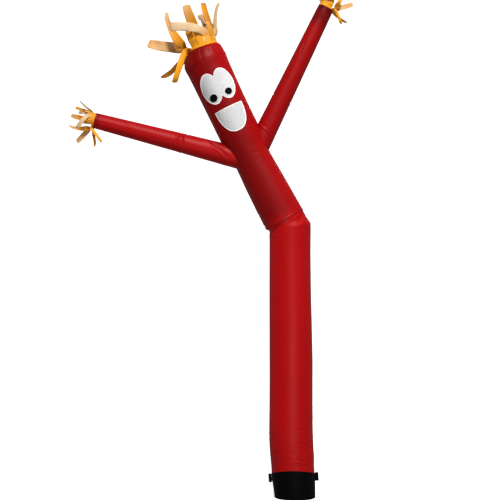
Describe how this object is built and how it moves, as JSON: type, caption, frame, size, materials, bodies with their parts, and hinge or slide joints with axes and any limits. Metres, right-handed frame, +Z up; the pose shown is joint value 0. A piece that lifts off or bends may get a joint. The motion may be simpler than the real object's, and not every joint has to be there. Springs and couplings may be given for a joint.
{
  "type": "inflatable air dancer",
  "caption": "Tall inflated cloth tube figure, bent at the waist, with raised tapered arms, slit cloth fringes, a sewn-on face and a cuff that fits over a blower outlet.",
  "frame": {"origin": "centre of the cuff's open mouth, where the blower's outlet goes in", "axes": "+Z up along the leg, the face looks towards -Y, the body bends towards -X"},
  "size_m": [3.2022, 0.6225, 5.7729],
  "materials": {
    "red_nylon": "thin ripstop nylon with a soft sheen",
    "orange_nylon": "thin nylon, pale on the inner face",
    "white_cloth": "matt white cloth",
    "black_cloth": "matt black cloth",
    "black_nylon": "coated black nylon",
    "black_webbing": "woven black webbing"
  },
  "bodies": {
    "root": {"leg_tube": "red_nylon", "body_tube": "red_nylon", "arm_left": "red_nylon", "arm_right": "red_nylon", "hair": "orange_nylon", "hand_left": "orange_nylon", "hand_right": "orange_nylon", "eyes_patch": "white_cloth", "mouth_patch": "white_cloth", "pupil_left": "black_cloth", "pupil_right": "black_cloth", "cuff": "black_nylon", "strap": "black_webbing", "tab_left": "black_webbing", "tab_right": "black_webbing"}
  },
  "joints": []
}
